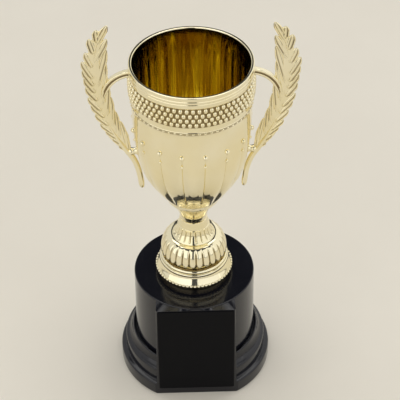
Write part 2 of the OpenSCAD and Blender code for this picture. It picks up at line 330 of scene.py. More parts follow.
def bead_ring() -> bpy.types.NodeTree:
    """Tree that sets round or oval beads side by side on one or more staggered rings."""
    make = TreeMaker("bead_ring")
    make.ask("Seed shape", Ask.SHAPE)
    count, rows = make.ask("Count", Ask.WHOLE), make.ask("Rows", Ask.WHOLE)
    phase, radius, bulge = make.ask("Phase"), make.ask("Ring radius"), make.ask("Bulge")
    low, pitch = make.ask("Lowest row"), make.ask("Row pitch")
    wide, tall, proud = make.ask("Bead width"), make.ask("Bead height"), make.ask("Bead depth")
    lean = make.ask("Lean")
    segments, rings = make.ask("Segments", Ask.WHOLE), make.ask("Bead rings", Ask.WHOLE)
    finish = make.ask("Finish", Ask.MATERIAL)
    dots = make.node("GeometryNodePoints", {"Count": make.sum("MULTIPLY", count, rows)})
    index = make.node("GeometryNodeInputIndex").outputs[0]
    row = make.sum("FLOOR", make.sum("DIVIDE", make.sum("ADD", index, 0.5), count))
    col = make.sum("SUBTRACT", index, make.sum("MULTIPLY", row, count))
    slide = make.sum("MULTIPLY_ADD", row, 0.5, phase)
    angle = make.sum("MULTIPLY", make.sum("ADD", col, slide), make.sum("DIVIDE", math.tau, count))
    span = make.sum("MAXIMUM", make.sum("SUBTRACT", rows, 1.0), 1.0)
    mid = make.sum("SUBTRACT", make.sum("MULTIPLY", make.sum("DIVIDE", row, span), 2.0), 1.0)
    swell = make.sum("MULTIPLY", bulge, make.sum("SUBTRACT", 1.0, make.sum("MULTIPLY", mid, mid)))
    reach = make.sum("ADD", radius, swell)
    place = make.vector(make.sum("MULTIPLY", reach, make.sum("COSINE", angle)),
                        make.sum("MULTIPLY", reach, make.sum("SINE", angle)),
                        make.sum("MULTIPLY_ADD", row, pitch, low))
    placed = make.node("GeometryNodeSetPosition", {"Geometry": dots.outputs[0], "Position": place})
    bead = make.node("GeometryNodeMeshUVSphere", {"Segments": segments, "Rings": rings, "Radius": 1.0})
    smooth = make.node("GeometryNodeSetShadeSmooth", {"Geometry": bead.outputs[0]})
    spread = make.node("GeometryNodeInstanceOnPoints", {
        "Points": placed.outputs[0], "Instance": smooth.outputs[0],
        "Rotation": make.turn(0.0, lean, angle), "Scale": make.vector(proud, wide, tall)})
    return make.close(spread.outputs[0], finish)


def laurel_row() -> bpy.types.NodeTree:
    """Tree that lays a leaf from each root point, turned, rolled and scaled by what the root says."""
    make = TreeMaker("laurel_row")
    roots = make.ask("Roots", Ask.SHAPE)
    leaf, finish = make.ask("Leaf", Ask.OBJECT), make.ask("Finish", Ask.MATERIAL)
    width, depth, roll = make.ask("Leaf width"), make.ask("Leaf depth"), make.ask("Roll")
    points = make.node("GeometryNodeMeshToPoints", {"Mesh": roots})
    blade = make.node("GeometryNodeObjectInfo", {"Object": leaf}, transform_space="ORIGINAL")
    aim, reach, side = make.attribute("aim"), make.attribute("reach"), make.attribute("side")
    tip = make.vector(make.sum("COSINE", aim), 0.0, make.sum("SINE", aim))
    flat = make.sum("MULTIPLY", make.sum("COSINE", roll), side)
    lift = make.sum("SINE", roll)
    across = make.vector(make.sum("MULTIPLY", make.sum("SINE", aim), lift), flat,
                         make.sum("MULTIPLY", make.sum("MULTIPLY", make.sum("COSINE", aim), lift), -1.0))
    turn = make.node("FunctionNodeAxesToRotation", {"Primary Axis": tip, "Secondary Axis": across},
                     primary_axis="X", secondary_axis="Y")
    size = make.vector(reach, depth, make.sum("MULTIPLY", width, make.attribute("breadth")))
    spread = make.node("GeometryNodeInstanceOnPoints", {"Points": points.outputs[0],
                       "Instance": blade.outputs["Geometry"], "Rotation": turn.outputs[0], "Scale": size})
    return make.close(spread.outputs[0], finish)


def swept_bar() -> bpy.types.NodeTree:
    """Tree that sweeps a closed section along a path, thicker or thinner as the path's girth says."""
    make = TreeMaker("swept_bar")
    path = make.ask("Path", Ask.SHAPE)
    section, finish = make.ask("Section", Ask.OBJECT), make.ask("Finish", Ask.MATERIAL)
    curve = make.node("GeometryNodeMeshToCurve", {"Mesh": path})
    flat = make.node("GeometryNodeSetCurveNormal", {"Curve": curve.outputs[0]}, mode="FREE")
    make.put(flat.inputs["Normal"], (0.0, 1.0, 0.0))
    outline = make.node("GeometryNodeObjectInfo", {"Object": section}, transform_space="ORIGINAL")
    ring = make.node("GeometryNodeMeshToCurve", {"Mesh": outline.outputs["Geometry"]})
    swept = make.node("GeometryNodeCurveToMesh", {"Curve": flat.outputs[0], "Profile Curve": ring.outputs[0],
                      "Scale": make.attribute("girth"), "Fill Caps": True})
    smooth = make.node("GeometryNodeSetShadeSmooth", {"Geometry": swept.outputs[0]})
    return make.close(smooth.outputs[0], finish)


def grow(piece: bpy.types.Object, tree: bpy.types.NodeTree, **inputs: object) -> bpy.types.Object:
    """Runs a tree on a piece and keeps what it makes as the piece's plain mesh.

    Args:
        piece: The object whose mesh feeds the tree.
        tree: The tree.
        inputs: Values by input name, with _ for each space.

    Returns:
        The same object, with its new mesh and no modifier.
    """
    named = {key.replace("_", " ").lower(): value for key, value in inputs.items()}
    modifier = piece.modifiers.new(tree.name, "NODES")
    modifier.node_group = tree
    for item in tree.interface.items_tree:
        if item.item_type == "SOCKET" and item.in_out == "INPUT" and item.name.lower() in named:
            modifier[item.identifier] = named.pop(item.name.lower())
    if named:
        raise ValueError(f"{tree.name} has no input named {sorted(named)}")
    bpy.context.view_layer.update()
    graph = bpy.context.evaluated_depsgraph_get()
    mesh = bpy.data.meshes.new_from_object(piece.evaluated_get(graph), preserve_all_data_layers=True,
                                           depsgraph=graph)
    piece.modifiers.remove(modifier)
    old = piece.data
    piece.data = mesh
    mesh.name = piece.name
    bpy.data.meshes.remove(old)
    return piece


def seed_piece(name: str) -> bpy.types.Object:
    """An empty mesh object for a tree that needs no starting shape."""
    return new_piece(name, np.zeros((0, 3)), [], [])


# ---------------------------------------------------------------- finishes


class ShaderBench:
    """Lays out the nodes of one material around its main shader."""

    def __init__(self, name: str) -> None:
        """Starts a material with one shader linked to the output."""
        self.material = bpy.data.materials.new(name)
        self.material.use_nodes = True
        self.tree = self.material.node_tree
        self.tree.nodes.clear()
        self.shader = self.tree.nodes.new("ShaderNodeBsdfPrincipled")
        end = self.tree.nodes.new("ShaderNodeOutputMaterial")
        self.tree.links.new(self.shader.outputs[0], end.inputs[0])
        self.place = self.tree.nodes.new("ShaderNodeTexCoord").outputs["Object"]

    def put(self, socket: bpy.types.NodeSocket, value: object) -> None:
        """Links a socket to another, or sets it to a plain value."""
        if isinstance(value, bpy.types.NodeSocket):
            self.tree.links.new(value, socket)
        else:
            socket.default_value = value

    def set(self, **values: object) -> None:
        """Sets or links the main shader's sockets, named with _ for each space."""
        for key, value in values.items():
            self.put(self.shader.inputs[key.replace("_", " ")], value)

    def node(self, kind: str, feeds: dict[object, object], **settings: object) -> bpy.types.Node:
        """Adds a node with its settings and what feeds its sockets."""
        node = self.tree.nodes.new(kind)
        for key, value in settings.items():
            setattr(node, key, value)
        for key, value in feeds.items():
            self.put(node.inputs[key], value)
        return node

    def stretched(self, x: float, y: float, z: float) -> bpy.types.NodeSocket:
        """Object coordinates scaled along each axis."""
        return self.node("ShaderNodeMapping", {"Vector": self.place, "Scale": (x, y, z)}).outputs[0]

    def noise(self, scale: float, detail: float = 3.0, rough: float = 0.5, vector: object = None
              ) -> bpy.types.NodeSocket:
        """Smooth noise, by how many times it changes in a metre."""
        feeds = {"Vector": vector or self.place, "Scale": scale, "Detail": detail, "Roughness": rough}
        return self.node("ShaderNodeTexNoise", feeds).outputs["Fac"]

    def spots(self, scale: float) -> bpy.types.NodeSocket:
        """Distance to scattered points, by how many there are in a metre."""
        return self.node("ShaderNodeTexVoronoi", {"Vector": self.place, "Scale": scale}).outputs["Distance"]

    def span(self, value: object, start: float, end: float, low: float, high: float) -> bpy.types.NodeSocket:
        """Maps a number from one span to another and holds it there."""
        feeds = {"Value": value, "From Min": start, "From Max": end, "To Min": low, "To Max": high}
        return self.node("ShaderNodeMapRange", feeds).outputs["Result"]

    def sum(self, operation: str, a: object, b: object) -> bpy.types.NodeSocket:
        """One step of arithmetic."""
        return self.node("ShaderNodeMath", {0: a, 1: b}, operation=operation).outputs[0]

    def blend(self, share: object, first: object, second: object) -> bpy.types.NodeSocket:
        """Mixes two colours by a share."""
        mix = self.tree.nodes.new("ShaderNodeMix")
        mix.data_type = "RGBA"
        self.put(mix.inputs[0], share)
        for socket, value in ((mix.inputs[6], first), (mix.inputs[7], second)):
            self.put(socket, value if isinstance(value, bpy.types.NodeSocket) else (*value, 1.0))
        return mix.outputs[2]

    def bump(self, height: object, distance: float, strength: float,
             under: object = None) -> bpy.types.NodeSocket:
        """Bump from a height, on top of another bump where one is given."""
        feeds = {"Height": height, "Distance": distance, "Strength": strength}
        if under is not None:
            feeds["Normal"] = under
        return self.node("ShaderNodeBump", feeds).outputs[0]


@dataclass(frozen=True)
class GoldPlating:
    """Vacuum plating over smooth plastic: bright and a little wavy, with shade painted dark brown into its
    recesses, which are also duller.
    """

    name: str = "gold_plating"
    bright: Colour = (0.95, 0.88, 0.65)
    warm: Colour = (0.90, 0.80, 0.50)
    # Colour of the shade painted into recesses.
    recess: Colour = (0.17, 0.11, 0.035)
    gloss: float = 0.07
    haze: float = 0.07

    def make(self) -> bpy.types.Material:
        """Builds the material."""
        bench = ShaderBench(self.name)
        cloud = bench.noise(38.0, 4.0)
        drift = bench.span(cloud, 0.35, 0.7, 0.0, 1.0)
        deep = bench.node("ShaderNodeAttribute", {}, attribute_name="recess").outputs["Fac"]
        tone = bench.blend(drift, self.bright, self.warm)
        # Painted shade: the stored shade turns the recesses dark brown.
        tone = bench.blend(bench.span(deep, 0.2, 1.0, 0.0, 0.9), tone, self.recess)
        smear = bench.noise(120.0, 5.0, 0.6, bench.stretched(1.0, 1.0, 0.35))
        dull = bench.span(smear, 0.4, 0.8, self.gloss, self.gloss + self.haze)
        hair = bench.span(bench.noise(900.0, 2.0, 0.5, bench.stretched(1.0, 1.0, 0.04)), 0.62, 0.7, 0.0, 0.05)
        worn = bench.sum("ADD", bench.sum("ADD", dull, hair), bench.span(deep, 0.3, 1.0, 0.0, 0.12))
        wave = bench.bump(bench.noise(140.0, 2.0), 0.0002, 0.10)
        peel = bench.bump(bench.noise(1500.0, 2.0), 0.00002, 0.25, wave)
        bench.set(Base_Color=tone, Metallic=1.0, Roughness=worn, Normal=peel)
        return bench.material


@dataclass(frozen=True)
class CupLining:
    """Plating inside the cup, painted deeper amber and brown than the outer gold to stand in for the light
    bounced inside it, with upright draw lines from its moulding core and bright amber streaks along them
    painted as reflections.
    """

    name: str = "cup_lining"
    # Streak colour painted as reflection, over a brown painted as the shade inside the cup.
    painted_streak: Colour = (0.95, 0.87, 0.32)
    brown: Colour = (0.57, 0.435, 0.13)
    gloss: float = 0.05

    def make(self) -> bpy.types.Material:
        """Builds the material."""
        bench = ShaderBench(self.name)
        lines = bench.noise(190.0, 1.0, 0.4, bench.stretched(1.0, 1.0, 0.03))
        # Painted shade and reflection: deep brown for the light bounced inside the cup, with bright amber
        # streaks along the draw lines.
        tone = bench.blend(bench.span(lines, 0.46, 0.62, 0.0, 1.0), self.brown, self.painted_streak)
        dull = bench.span(bench.noise(70.0, 4.0), 0.3, 0.7, self.gloss, self.gloss + 0.07)
        drawn = bench.bump(lines, 0.0003, 0.02)
        peel = bench.bump(bench.noise(1300.0, 2.0), 0.00002, 0.06, drawn)
        bench.set(Base_Color=tone, Metallic=1.0, Roughness=dull, Normal=peel)
        return bench.material


@dataclass(frozen=True)
class BlackMoulding:
    """Glossy black plastic with faint flow waves, dust and handling marks."""

    name: str = "black_moulding"
    black: Colour = (0.0055, 0.0058, 0.0095)
    dust: Colour = (0.055, 0.053, 0.050)
    gloss: float = 0.09
    level: float = 0.5

    def make(self) -> bpy.types.Material:
        """Builds the material."""
        bench = ShaderBench(self.name)
        specks = bench.span(bench.spots(900.0), 0.02, 0.10, 1.0, 0.0)
        patch = bench.span(bench.noise(55.0, 5.0, 0.6), 0.5, 0.75, 0.0, 0.55)
        tone = bench.blend(bench.sum("MULTIPLY", specks, patch), self.black, self.dust)
        rub = bench.noise(90.0, 6.0, 0.65)
        hair = bench.span(bench.noise(700.0, 3.0, 0.5, bench.stretched(1.0, 0.06, 1.0)), 0.6, 0.72, 0.0, 0.12)
        dull = bench.sum("ADD", bench.span(rub, 0.35, 0.75, self.gloss, self.gloss + 0.10), hair)
        flow = bench.bump(bench.noise(60.0, 2.0), 0.0003, 0.08)
        peel = bench.bump(bench.noise(1100.0, 3.0), 0.00003, 0.25, flow)
        bench.set(Base_Color=tone, Roughness=dull, Specular_IOR_Level=self.level, Normal=peel)
        return bench.material


@dataclass(frozen=True)
class BlackPlate:
    """Satin black film on the blank plate, finely brushed across."""

    name: str = "black_plate"
    black: Colour = (0.0036, 0.0036, 0.0044)
    grey: Colour = (0.0058, 0.0058, 0.0068)

    def make(self) -> bpy.types.Material:
        """Builds the material."""
        bench = ShaderBench(self.name)
        brushed = bench.noise(260.0, 4.0, 0.6, bench.stretched(0.08, 1.0, 6.0))
        tone = bench.blend(brushed, self.black, self.grey)
        dull = bench.span(brushed, 0.3, 0.7, 0.40, 0.52)
        grain = bench.bump(brushed, 0.00002, 0.3)
        bench.set(Base_Color=tone, Roughness=dull, Specular_IOR_Level=0.07, Normal=grain)
        return bench.material


@dataclass(frozen=True)
class ZincSteel:
    """Bright zinc on turned steel, with spangle and turning lines."""

    name: str = "zinc_finish"
    light: Colour = (0.66, 0.67, 0.68)
    dark: Colour = (0.42, 0.43, 0.46)

    def make(self) -> bpy.types.Material:
        """Builds the material."""
        bench = ShaderBench(self.name)
        spangle = bench.span(bench.spots(420.0), 0.1, 0.7, 0.0, 1.0)
        tone = bench.blend(spangle, self.light, self.dark)
        lines = bench.noise(300.0, 2.0, 0.5, bench.stretched(0.1, 0.1, 12.0))
        dull = bench.span(lines, 0.3, 0.7, 0.24, 0.42)
        turned = bench.bump(lines, 0.00003, 0.35)
        bench.set(Base_Color=tone, Metallic=1.0, Roughness=dull, Normal=turned)
        return bench.material


@dataclass(frozen=True)
class CastIron:
    """Grey cast weight with a sandy skin and a little rust."""

    name: str = "cast_iron"
    grey: Colour = (0.085, 0.085, 0.09)
    rust: Colour = (0.16, 0.07, 0.03)

    def make(self) -> bpy.types.Material:
        """Builds the material."""
        bench = ShaderBench(self.name)
        stain = bench.span(bench.noise(60.0, 6.0, 0.65), 0.55, 0.75, 0.0, 0.8)
        tone = bench.blend(stain, self.grey, self.rust)
        sand = bench.noise(900.0, 5.0, 0.6)
        bench.set(Base_Color=tone, Metallic=0.6, Roughness=bench.span(sand, 0.3, 0.7, 0.5, 0.75),
                  Normal=bench.bump(sand, 0.0003, 0.6))
        return bench.material


@dataclass(frozen=True)
class FibreBoard:
    """Dark pressed board under the base, with short pale fibres."""

    name: str = "fibre_board"
    brown: Colour = (0.030, 0.024, 0.020)
    fibre: Colour = (0.11, 0.085, 0.06)

    def make(self) -> bpy.types.Material:
        """Builds the material."""
        bench = ShaderBench(self.name)
        strands = bench.noise(700.0, 4.0, 0.6, bench.stretched(1.0, 0.15, 1.0))
        tone = bench.blend(bench.span(strands, 0.58, 0.75, 0.0, 0.7), self.brown, self.fibre)
        bench.set(Base_Color=tone, Roughness=bench.span(strands, 0.3, 0.7, 0.75, 0.9),
                  Specular_IOR_Level=0.3, Normal=bench.bump(strands, 0.0002, 0.5))
        return bench.material


@dataclass(frozen=True)
class PaleTop:
    """Plain pale table top with a very faint drift in its tone."""

    name: str = "pale_top"
    light: Colour = (0.85, 0.80, 0.70)
    shade: Colour = (0.82, 0.77, 0.67)

    def make(self) -> bpy.types.Material:
        """Builds the material."""
        bench = ShaderBench(self.name)
        drift = bench.noise(6.0, 4.0, 0.6)
        grain = bench.noise(500.0, 3.0)
        bench.set(Base_Color=bench.blend(bench.span(drift, 0.35, 0.65, 0.0, 1.0), self.light, self.shade),
                  Roughness=bench.span(grain, 0.3, 0.7, 0.5, 0.62), Normal=bench.bump(grain, 0.0001, 0.15))
        return bench.material


@dataclass(frozen=True)
class Finishes:
    """Every material of the scene, made once."""

    gold: bpy.types.Material
    lining: bpy.types.Material
    black: bpy.types.Material
    plate: bpy.types.Material
    zinc: bpy.types.Material
    iron: bpy.types.Material
    board: bpy.types.Material
    top: bpy.types.Material

    @classmethod
    def mixed(cls) -> "Finishes":
        """Makes the whole set."""
        return cls(GoldPlating().make(), CupLining().make(), BlackMoulding().make(), BlackPlate().make(),
                   ZincSteel().make(), CastIron().make(), FibreBoard().make(), PaleTop().make())


@dataclass(frozen=True)
class Trees:
    """Every shape tree, made once."""

    relief: bpy.types.NodeTree
    beads: bpy.types.NodeTree
    laurel: bpy.types.NodeTree
    bar: bpy.types.NodeTree

    @classmethod
    def grown(cls) -> "Trees":
        """Makes the whole set."""
        return cls(flute_relief(), bead_ring(), laurel_row(), swept_bar())


# ---------------------------------------------------------------- turned walls


@dataclass
class Row:
    """One ring of a turned wall: its radius and height in millimetres, its side, slot and the shade painted
    on it.
    """

    r: float
    z: float
    skin: bool = True
    slot: int = 0
    shade: float = 0.0


def rows_of(path: Sequence[Point], lift: float = 0.0, skin: bool = True, slot: int = 0) -> list[Row]:
    """Rows from an outline, raised by a height."""
    return [Row(r, z + lift, skin, slot) for r, z in path]


def turned_wall(name: str, rows: Sequence[Row], angles: np.ndarray, finishes: Sequence[bpy.types.Material],
                shape: Callable[[Row, np.ndarray], np.ndarray] | None = None) -> bpy.types.Object:
    """Makes a closed turned wall from a loop of rows, up the outside and down the inside.

    Args:
        name: Name of the piece.
        rows: The loop of rows.
        angles: The columns' angles in radians, from +X.
        finishes: Materials for the slots that the rows name.
        shape: Gives a row's radius at every column, or None for a true circle.

    Returns:
        The piece, with each point's share of the outer skin stored as "skin" and each row's painted shade
        stored on its points.
    """
    rings = []
    for row in rows:
        radius = np.full(len(angles), row.r) if shape is None else shape(row, angles)
        height = np.full(len(angles), row.z)
        rings.append(np.stack([radius * np.cos(angles), radius * np.sin(angles), height], 1))
    n, m = len(rows), len(angles)
    faces, picks = [], []
    for i in range(n):
        up = (i + 1) % n
        for j in range(m):
            on = (j + 1) % m
            faces.append((i * m + j, i * m + on, up * m + on, up * m + j))
            picks.append(rows[i].slot)
    piece = new_piece(name, np.concatenate(rings), faces, finishes, picks)
    # Each row's shade is painted shade, kept on its points.
    skins, shades = [float(row.skin) for row in rows], [row.shade for row in rows]
    for label, values in (("skin", np.repeat(skins, m)), ("recess", np.repeat(shades, m))):
        piece.data.attributes.new(label, "FLOAT", "POINT").data.foreach_set("value", values)
    return piece


def even_columns(count: int) -> np.ndarray:
    """Angles of evenly spaced columns."""
    return np.arange(count) * math.tau / count


@dataclass
class Stack:
    """Heights in millimetres at which the solids stand on each other."""

    base_top: float
    flange_top: float
    dome_top: float
    collar_top: float
    rim: float

    @classmethod
    def measured(cls) -> "Stack":
        """Reads the heights from the solids."""
        nodes = ("base_shell", "stem_flange", "stem_dome", "neck_collar", "bowl")
        return cls(*(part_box(node)[1].z / MM for node in nodes))


# ---------------------------------------------------------------- black base


@dataclass
class BlackBase:
    """Stepped foot and drum in one moulding, with a flat pad for the plate at the front."""

    finishes: Finishes
    stack: Stack
    pad_half_top: float = 20.3
    pad_half_foot: float = 21.3
    face_top: float = 31.5
    face_foot: float = 33.5
    pad_top: float = 59.4
    corner: float = 80.0
    wall: float = 2.4
    shoulder: float = 0.35
    graze: float = 0.05
    far: float = 500.0
    near: float = 1e-4
    weld: float = 0.005
    crease: float = 38.0

    def outline(self) -> list[Row]:
        """The loop of rows: up the steps and the drum, across the top and down the hollow."""
        top = self.stack.base_top
        steps = filleted([(36.9, 0, 0), (39.6, 0, 0.4), (39.95, 0.5, 0.3), (39.9, 7.5, 1.0),
                          (37.35, 7.85, 0.5), (37.25, 15.2, 0.9), (35.6, 15.7, 0.9), (33.9, 18.2, 1.6),
                          (33.35, 21.3, 0.8), (32.3, 21.3, 0.5), (32.2, 19.7, 0.2), (31.45, 19.7, 0.2),
                          (31.5, 22.0, 0), (31.25, self.pad_top - 0.5, 0)], 5)
        outer = rows_of(dense(steps, 2.2))
        rim = filleted([(31.25, self.pad_top - 0.42, 0), (31.2, top, 0.75), (30.2, top, 0)], 5)
        outer += [Row(r, z, skin=z <= self.pad_top - 0.1) for r, z in rim[:2]]
        outer += rows_of(rim[2:] + [(26.0, top), (21.0, top), (12.0, top), (3.3, top)], skin=False)
        inner = [(3.3, 51.4), (7.0, 51.4), (7.0, 57.4), (28.6, 57.4), (28.8, 12.8), (31.2, 12.6), (31.2, 5.6),
                 (35.6, 5.4), (35.6, 1.65), (36.9, 1.6)]
        return outer + rows_of(inner, skin=False)

    def columns(self) -> np.ndarray:
        """Angles that crowd together at the pad's corners and side walls."""
        spans = ((0, 30, 1.5), (30, 31.6, 0.4), (31.6, 33.8, 0.11), (33.8, 41.6, 0.26), (41.6, 48, 0.8),
                 (48, 180, 1.5))
        half = np.concatenate([np.arange(*span) for span in spans])
        both = np.concatenate([half, -half[1:]])
        return np.sort(np.radians(np.append(both, 180.0)) - math.pi / 2)

    def radius(self, row: Row, angles: np.ndarray) -> np.ndarray:
        """How far the wall stands from the axis at each column of a row."""
        turn = angles + math.pi / 2
        share = min(max(row.z / self.pad_top, 0.0), 1.0)
        half = self.pad_half_foot + (self.pad_half_top - self.pad_half_foot) * share
        ahead = np.cos(turn)
        level = np.maximum(ahead, self.graze)
        front = np.where(ahead > self.graze, self.face(share) / level, 2 * self.far)
        side = half / np.maximum(np.abs(np.sin(turn)), 1e-3)
        inset = 0.0 if row.skin or row.z >= self.pad_top else self.wall
        circle = np.full(len(angles), row.r)
        if row.skin and row.z <= self.pad_top:
            soft = np.minimum(front, self.far) ** -self.corner + np.minimum(side, self.far) ** -self.corner
            block = np.where(ahead > self.graze, soft ** (-1 / self.corner), 0.0)
            proud = min(max((self.pad_top - row.z) / self.shoulder, 0.0), 1.0)
            circle = np.maximum(circle, block - self.shoulder * (1 - proud))
        return np.minimum(circle, front - inset / level)

    def face(self, share: float) -> float:
        """Distance from the axis to the pad's leaning face, at a share of its height."""
        return self.face_foot + (self.face_top - self.face_foot) * share

    def unfold(self, piece: bpy.types.Object) -> None:
        """Keeps the pad whole where the wall dips into its groove, and merges rows that meet on it.

        Args:
            piece: The turned moulding, whose points run row by row.
        """
        rows, angles, mesh = self.outline(), self.columns(), piece.data
        flat = np.zeros(len(mesh.vertices) * 3)
        mesh.vertices.foreach_get("co", flat)
        grid = flat.reshape(len(rows), len(angles), 3)
        high = 0.0
        for k, row in enumerate(rows):
            if not row.skin:
                break
            high = max(high, row.z)
            reach = self.radius(Row(row.r, high), angles)
            pad = np.abs(reach - row.r) > self.near
            grid[k, pad, 0] = (reach * np.cos(angles))[pad] * MM
            grid[k, pad, 1] = (reach * np.sin(angles))[pad] * MM
            grid[k, pad, 2] = high * MM
        mesh.vertices.foreach_set("co", grid.reshape(-1))
        weld = bmesh.new()
        weld.from_mesh(mesh)
        bmesh.ops.remove_doubles(weld, verts=weld.verts, dist=self.weld * MM)
        weld.to_mesh(mesh)
        weld.free()

    def build(self) -> bpy.types.Object:
        """Builds and places the moulding."""
        piece = turned_wall("black_base", self.outline(), self.columns(), [self.finishes.black], self.radius)
        self.unfold(piece)
        crisp(piece, self.crease)
        return settle(piece, "base_shell")


@dataclass
class BlankPlate:
    """Thin blank plate with soft corners, laid on the pad's leaning face."""

    finishes: Finishes
    base: BlackBase
    corner: float = 0.8
    bevel: float = 0.12
    thickness: float = 0.55
    margin: float = 0.05
    gap: float = 0.02
    crease: float = 30.0

    def build(self) -> bpy.types.Object:
        """Builds the plate where its solid lies."""
        low, high = (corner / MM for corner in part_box("name_plate"))
        half, bottom, top = (high.x - low.x) / 2, low.z + self.margin, high.z - self.margin
        points: list[tuple[float, float, float]] = []
        rims = ((0.0, 0.0), (0.0, self.thickness - self.bevel), (self.bevel, self.thickness))
        for shrink, out in rims:
            corners = ((1, 1), (-1, 1), (-1, -1), (1, -1))
            for k, (sx, sz) in enumerate(corners):
                cx = sx * (half - self.corner)
                cz = (bottom + top) / 2 + sz * ((top - bottom) / 2 - self.corner)
                for a in np.linspace(0, math.pi / 2, 6):
                    angle = a + k * math.pi / 2
                    reach = self.corner - shrink
                    x, z = cx + reach * math.cos(angle), cz + reach * math.sin(angle)
                    points.append((x, -(self.base.face(z / self.base.pad_top) + self.gap + out), z))
        n = len(points) // 3
        faces: list[tuple[int, ...]] = [tuple(range(n)), tuple(range(3 * n - 1, 2 * n - 1, -1))]
        for ring in range(2):
            faces += [(ring * n + i, (ring + 1) * n + i, (ring + 1) * n + (i + 1) % n, ring * n + (i + 1) % n)
                      for i in range(n)]
        piece = new_piece("blank_plate", np.array(points), faces, [self.finishes.plate])
        outwards(piece)
        crisp(piece, self.crease)
        return settle(piece, "name_plate")


def outwards(piece: bpy.types.Object) -> None:
    """Turns a closed shell's faces to point outwards."""
    mesh = piece.data
    points = np.zeros(len(mesh.vertices) * 3)
    mesh.vertices.foreach_get("co", points)
    points = points.reshape(-1, 3)
    mesh.calc_loop_triangles()
    corners = np.zeros(len(mesh.loop_triangles) * 3, int)
    mesh.loop_triangles.foreach_get("vertices", corners)
    a, b, c = (points[corners.reshape(-1, 3)[:, k]] for k in range(3))
    if float((a * np.cross(b, c)).sum()) < 0:
        mesh.flip_normals()


# ---------------------------------------------------------------- gold stem


